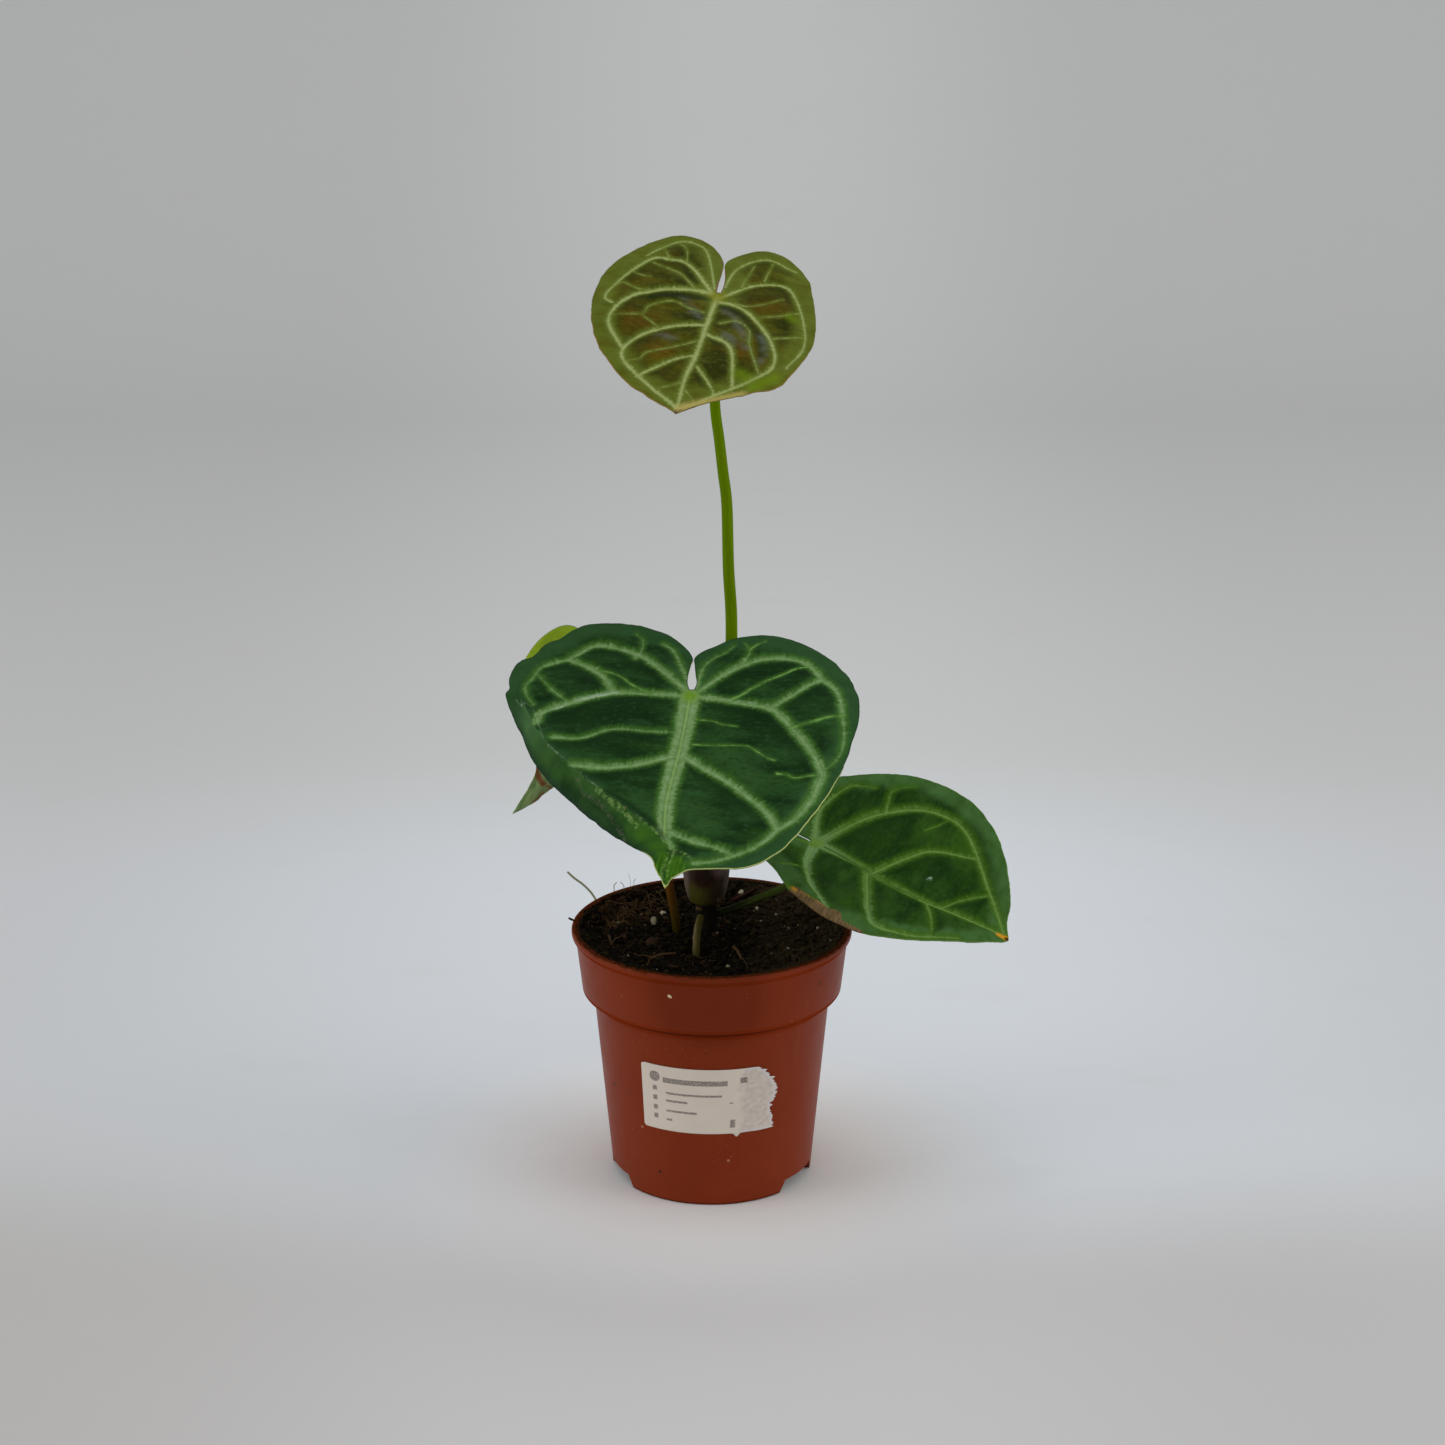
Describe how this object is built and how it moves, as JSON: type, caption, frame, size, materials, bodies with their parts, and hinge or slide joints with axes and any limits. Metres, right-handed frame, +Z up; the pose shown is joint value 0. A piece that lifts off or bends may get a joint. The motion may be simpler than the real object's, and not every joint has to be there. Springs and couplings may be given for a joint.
{
  "type": "potted anthurium plant",
  "caption": "Young anthurium with heart-shaped, silver-veined leaves on long stalks, growing from a short sheathed stem in a filled terracotta-coloured nursery pot with a paper label.",
  "frame": {"origin": "centre of the pot's underside, on the surface the pot stands on", "axes": "+Z up along the pot's axis, +Y away from the front of the plant, +X to the right as seen from the front"},
  "size_m": [0.2162, 0.1808, 0.3992],
  "materials": {
    "pot": "satin",
    "label": "matte",
    "soil": "matte",
    "stem": "matte",
    "sheath": "satin",
    "root": "matte",
    "stalk": "satin",
    "leaf_dark": "satin",
    "leaf_young": "gloss",
    "leaf_back": "satin"
  },
  "bodies": {
    "root": {"pot": "pot", "label": "label", "soil": "soil", "stem": "stem", "sheath": "sheath", "aerial_root": "root", "petiole_main": "stalk", "petiole_top": "stalk", "petiole_right": "stalk", "petiole_back": "stalk", "leaf_main": "leaf_dark", "leaf_right": "leaf_dark", "leaf_top": "leaf_young", "leaf_back": "leaf_back"}
  },
  "joints": []
}
